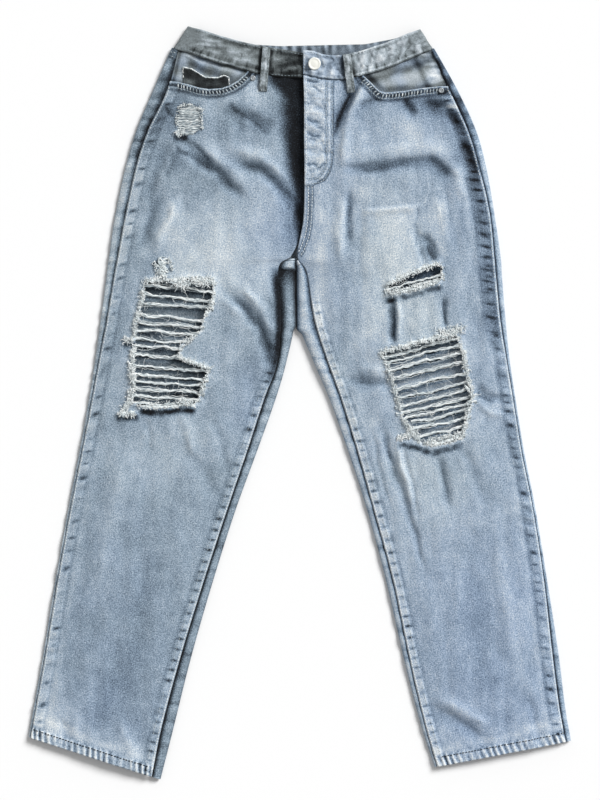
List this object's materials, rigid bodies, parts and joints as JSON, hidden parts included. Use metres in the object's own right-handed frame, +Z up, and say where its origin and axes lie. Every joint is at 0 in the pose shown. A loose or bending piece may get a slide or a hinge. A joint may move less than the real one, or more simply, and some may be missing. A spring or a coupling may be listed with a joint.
{
  "type": "ripped jeans",
  "caption": "Light washed denim jeans laid flat on their back, with frayed rips over the thighs, scoop pockets, a button waistband and belt loops.",
  "frame": {"origin": "middle of the outline on the surface the garment lies on", "axes": "+Y along the garment towards the waist, +X to the right seen from above (the wearer's left), +Z up, away from the surface, the front of the garment uppermost"},
  "size_m": [0.7335, 1.0188, 0.022],
  "materials": {
    "denim_front": "washed light blue denim, faded on the thighs, with pale frayed rips",
    "denim_back": "washed light blue denim",
    "denim_band": "washed grey-blue denim, puckered along the stitching",
    "denim_pale": "pale worn denim",
    "denim_dark": "darker, less washed denim",
    "metal": "worn pale satin metal"
  },
  "bodies": {
    "root": {"front_right": "denim_front", "front_left": "denim_front", "back_right": "denim_back", "back_right_side_turn": "denim_back", "back_right_inseam_turn": "denim_back", "back_left": "denim_back", "back_left_side_turn": "denim_back", "back_left_inseam_turn": "denim_back", "yoke_right": "denim_back", "yoke_left": "denim_back", "waistband": "denim_band", "facing_right": "denim_pale", "facing_left": "denim_pale", "coin_pocket": "denim_dark", "loop_right": "denim_band", "loop_left": "denim_band", "button": "metal", "rivet_right": "metal", "rivet_left": "metal"}
  },
  "joints": []
}
